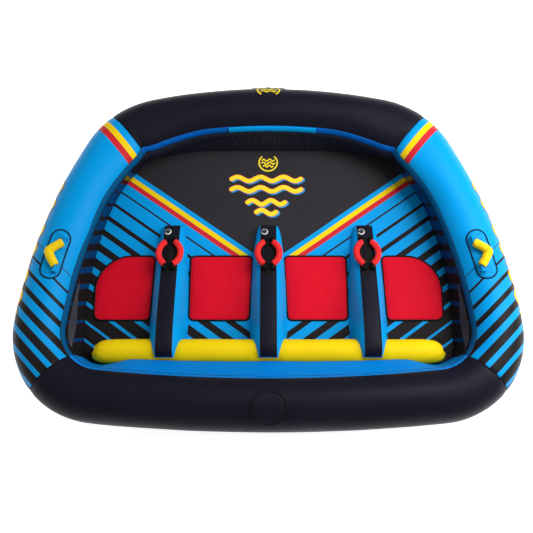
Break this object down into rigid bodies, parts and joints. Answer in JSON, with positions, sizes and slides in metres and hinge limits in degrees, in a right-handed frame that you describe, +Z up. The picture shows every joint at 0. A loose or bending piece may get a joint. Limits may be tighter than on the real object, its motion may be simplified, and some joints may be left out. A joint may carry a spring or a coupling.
{
  "type": "towable tube",
  "caption": "Inflatable boat-towed ring tube with a drop floor, divided seats with hand grips, a backrest bolster and a tow hook at the nose.",
  "frame": {"origin": "on the ground plane under the hull, on the plane of symmetry, between the seats and the foot well", "axes": "+X across the seats to the riders' right, +Y forward along the tow, +Z up"},
  "size_m": [2.5076, 1.8893, 0.4277],
  "materials": {
    "cover_black": "woven, satin",
    "cover_blue": "woven, satin",
    "cover_yellow": "woven, satin",
    "floor_fabric": "woven, satin",
    "pad_red": "stretch fabric, matt",
    "grip_red": "padded neoprene, matt",
    "grip_yellow": "padded neoprene, matt",
    "webbing_black": "nylon webbing, matt",
    "mesh_grey": "open net, matt",
    "bladder_vinyl": "satin",
    "valve_white": "satin",
    "plug_black": "matt",
    "tow_aluminium": "satin",
    "pin_steel": "satin"
  },
  "bodies": {
    "tube": {"front_cover": "cover_black", "rear_cover": "cover_black", "left_side_cover": "cover_blue", "right_side_cover": "cover_blue", "ring_bladder": "bladder_vinyl", "inner_strip": "cover_blue", "zip_flap": "cover_blue", "hull_cover": "cover_black", "deck_bladder": "bladder_vinyl", "floor_cover": "floor_fabric", "front_wall": "cover_black", "rear_wall": "cover_blue", "left_wall": "cover_blue", "right_wall": "cover_blue", "left_vent": "mesh_grey", "right_vent": "mesh_grey", "bolster_cover": "cover_yellow", "bolster_bladder": "bladder_vinyl", "left_divider_cover": "cover_blue", "centre_divider_cover": "cover_blue", "right_divider_cover": "cover_blue", "left_divider_bladder": "bladder_vinyl", "centre_divider_bladder": "bladder_vinyl", "right_divider_bladder": "bladder_vinyl", "left_divider_top": "cover_black", "centre_divider_top": "cover_black", "right_divider_top": "cover_black", "left_outer_pad": "pad_red", "left_inner_pad": "pad_red", "right_inner_pad": "pad_red", "right_outer_pad": "pad_red", "left_grip_strap": "webbing_black", "centre_grip_strap": "webbing_black", "right_grip_strap": "webbing_black", "left_side_patch": "cover_blue", "right_side_patch": "cover_blue", "valve_collar": "webbing_black", "main_valve": "valve_white", "divider_valves": "valve_white", "tow_patch": "webbing_black", "tow_bracket": "tow_aluminium", "tow_pin": "pin_steel"},
    "grip_1": {"grip_1": "grip_red"},
    "grip_2": {"grip_2": "grip_red"},
    "grip_3": {"grip_3": "grip_red"},
    "grip_4": {"grip_4": "grip_red"},
    "grip_5": {"grip_5": "grip_red"},
    "grip_6": {"grip_6": "grip_red"},
    "right_side_grip": {"right_side_grip": "grip_yellow"},
    "left_side_grip": {"left_side_grip": "grip_yellow"},
    "valve_flap": {"valve_flap": "cover_black"},
    "main_valve_cap": {"main_valve_cap": "plug_black"},
    "divider_plug_1": {"divider_plug_1": "plug_black"},
    "divider_plug_2": {"divider_plug_2": "plug_black"},
    "divider_plug_3": {"divider_plug_3": "plug_black"},
    "tow_hook": {"tow_hook": "tow_aluminium"}
  },
  "joints": [
    {"name": "grip_1_fold", "type": "hinge", "parent": "tube", "child": "grip_1", "pos_m": [-0.538, 0.02009, 0.20723], "axis": [0, 0.9814, -0.1919], "range_deg": [0, 80]},
    {"name": "grip_2_fold", "type": "hinge", "parent": "tube", "child": "grip_2", "pos_m": [-0.494, 0.02009, 0.20723], "axis": [0, -0.9814, 0.1919], "range_deg": [0, 80]},
    {"name": "grip_3_fold", "type": "hinge", "parent": "tube", "child": "grip_3", "pos_m": [-0.022, 0.02009, 0.20723], "axis": [0, 0.9814, -0.1919], "range_deg": [0, 80]},
    {"name": "grip_4_fold", "type": "hinge", "parent": "tube", "child": "grip_4", "pos_m": [0.022, 0.02009, 0.20723], "axis": [0, -0.9814, 0.1919], "range_deg": [0, 80]},
    {"name": "grip_5_fold", "type": "hinge", "parent": "tube", "child": "grip_5", "pos_m": [0.494, 0.02009, 0.20723], "axis": [0, 0.9814, -0.1919], "range_deg": [0, 80]},
    {"name": "grip_6_fold", "type": "hinge", "parent": "tube", "child": "grip_6", "pos_m": [0.538, 0.02009, 0.20723], "axis": [0, -0.9814, 0.1919], "range_deg": [0, 80]},
    {"name": "right_side_grip_fold", "type": "hinge", "parent": "tube", "child": "right_side_grip", "pos_m": [1.02638, -0.05231, 0.39987], "axis": [0.2181, -0.9759, 0], "range_deg": [0, 100]},
    {"name": "left_side_grip_fold", "type": "hinge", "parent": "tube", "child": "left_side_grip", "pos_m": [-1.02638, -0.05231, 0.39987], "axis": [0.2181, 0.9759, 0], "range_deg": [0, 100]},
    {"name": "valve_flap_hinge", "type": "hinge", "parent": "tube", "child": "valve_flap", "pos_m": [0, -0.71153, 0.3771], "axis": [-1, 0, 0], "range_deg": [0, 110]},
    {"name": "main_valve_cap_turn", "type": "hinge", "parent": "tube", "child": "main_valve_cap", "pos_m": [0, -0.79547, 0.36994], "axis": [0, -0.2538, 0.9673], "range_deg": [0, 90]},
    {"name": "divider_plug_1_hinge", "type": "hinge", "parent": "tube", "child": "divider_plug_1", "pos_m": [-0.553, 0.15442, 0.1672], "axis": [0, -0.9703, 0.2419], "range_deg": [0, 110]},
    {"name": "divider_plug_2_hinge", "type": "hinge", "parent": "tube", "child": "divider_plug_2", "pos_m": [-0.037, 0.15442, 0.1672], "axis": [0, -0.9703, 0.2419], "range_deg": [0, 110]},
    {"name": "divider_plug_3_hinge", "type": "hinge", "parent": "tube", "child": "divider_plug_3", "pos_m": [0.479, 0.15442, 0.1672], "axis": [0, -0.9703, 0.2419], "range_deg": [0, 110]},
    {"name": "tow_hook_swing", "type": "hinge", "parent": "tube", "child": "tow_hook", "pos_m": [0, 0.97531, 0.25], "axis": [1, 0, 0], "range_deg": [0, 110]}
  ]
}
